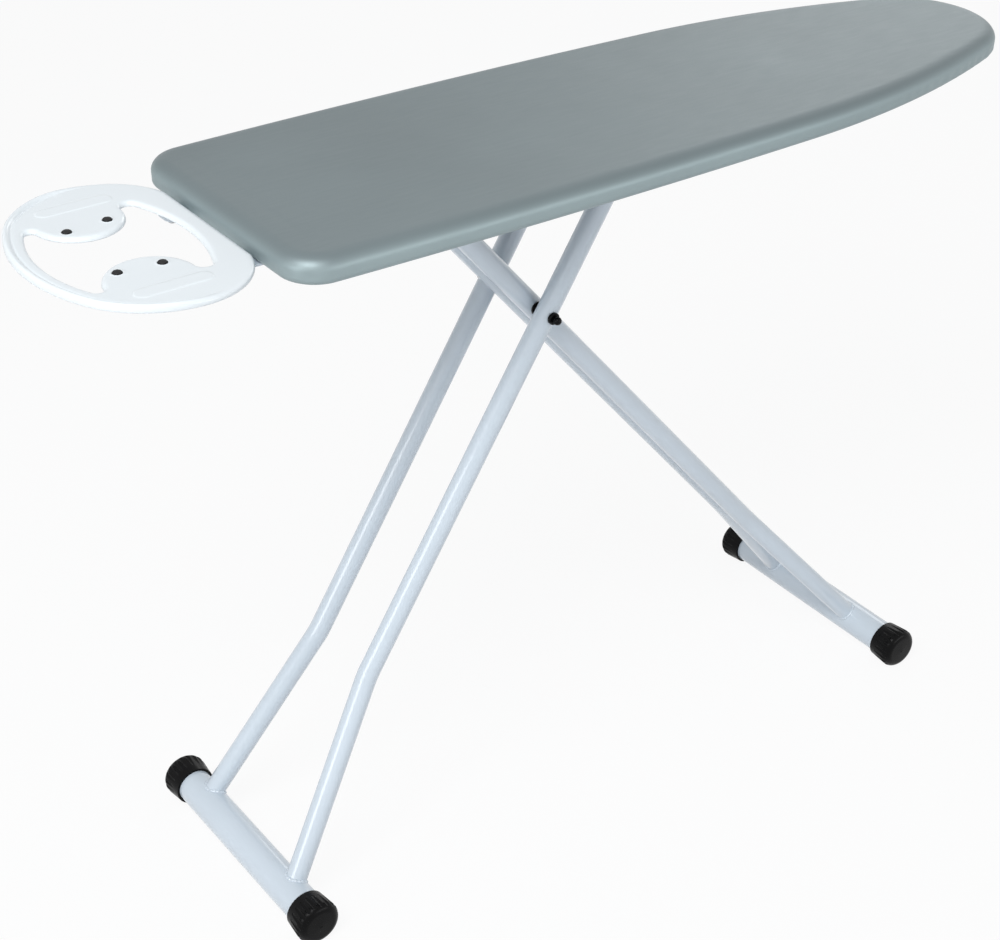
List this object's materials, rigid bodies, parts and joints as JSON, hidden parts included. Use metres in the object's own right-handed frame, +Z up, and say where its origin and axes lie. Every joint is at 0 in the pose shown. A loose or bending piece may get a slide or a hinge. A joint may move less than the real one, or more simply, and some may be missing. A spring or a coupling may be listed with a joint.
{
  "type": "ironing board",
  "caption": "Free-standing folding ironing board with a tapered padded top, grey fabric cover, white iron rest, white tubular scissor legs and black fluted foot caps.",
  "frame": {"origin": "on the floor, below the middle of the overall length, in the plane midway between the two sides", "axes": "+X from the iron rest towards the nose, +Y to the left when looking that way, +Z up"},
  "size_m": [1.1254, 0.302, 0.755],
  "materials": {
    "cover_fabric": "metallised grey cotton, smooth, soft sheen",
    "felt_pad": "needle felt",
    "white_steel": "white powder coat, satin gloss",
    "zinc_steel": "zinc plated",
    "rest_plastic": "glossy white heat-resistant moulding",
    "rubber_black": "matt rubber",
    "black_plastic": "glossy black moulding"
  },
  "bodies": {
    "board": {"cover": "cover_fabric", "pad": "felt_pad", "top_mesh": "white_steel", "rim": "white_steel", "brace_rear": "white_steel", "brace_hinge": "white_steel", "brace_middle": "white_steel", "brace_front": "white_steel", "rail_left": "white_steel", "rail_right": "white_steel", "rivets": "zinc_steel", "rest_plate": "rest_plastic", "rest_studs": "rubber_black", "rest_tongue_left": "white_steel", "rest_tongue_right": "white_steel", "rest_screws": "zinc_steel", "hinge_rod": "zinc_steel", "hinge_rod_clips": "zinc_steel", "lever_bracket": "white_steel", "lever_pin": "zinc_steel", "lever_spring": "zinc_steel"},
    "inner_frame": {"inner_leg_left": "white_steel", "inner_leg_right": "white_steel", "inner_foot_tube": "white_steel", "foot_cap_inner_left": "black_plastic", "foot_cap_inner_right": "black_plastic", "pivot_bolt_left": "zinc_steel", "pivot_bolt_right": "zinc_steel", "pivot_spacers": "black_plastic", "pivot_nuts": "zinc_steel", "pivot_cap_left": "black_plastic", "pivot_cap_right": "black_plastic"},
    "outer_frame": {"outer_leg_left": "white_steel", "outer_leg_right": "white_steel", "outer_foot_tube": "white_steel", "foot_cap_outer_left": "black_plastic", "foot_cap_outer_right": "black_plastic", "slide_rod": "zinc_steel", "slide_bush_left": "black_plastic", "slide_bush_right": "black_plastic", "slide_rod_clips": "zinc_steel"},
    "catch": {"height_comb": "zinc_steel", "lever_rod": "zinc_steel", "lever_grip": "black_plastic"}
  },
  "joints": [
    {"name": "leg_fold", "type": "hinge", "parent": "board", "child": "inner_frame", "pos_m": [-0.15865, 0, 0.725], "axis": [0, -1, 0], "range_deg": [-4.8, 47.33]},
    {"name": "scissor", "type": "hinge", "parent": "inner_frame", "child": "outer_frame", "pos_m": [-0.04875, 0, 0.5735], "axis": [0, 1, 0], "range_deg": [-10.64, 104.44]},
    {"name": "catch_squeeze", "type": "hinge", "parent": "board", "child": "catch", "pos_m": [0.22153, 0, 0.723], "axis": [0, -1, 0], "range_deg": [0, 4], "stiffness_Nm_per_rad": 1, "springref_deg": -8.59, "deforming": ["lever_spring"]}
  ],
  "couplings": [
    {"joint": "scissor", "follows": "leg_fold", "ratio": 2.2055}
  ]
}
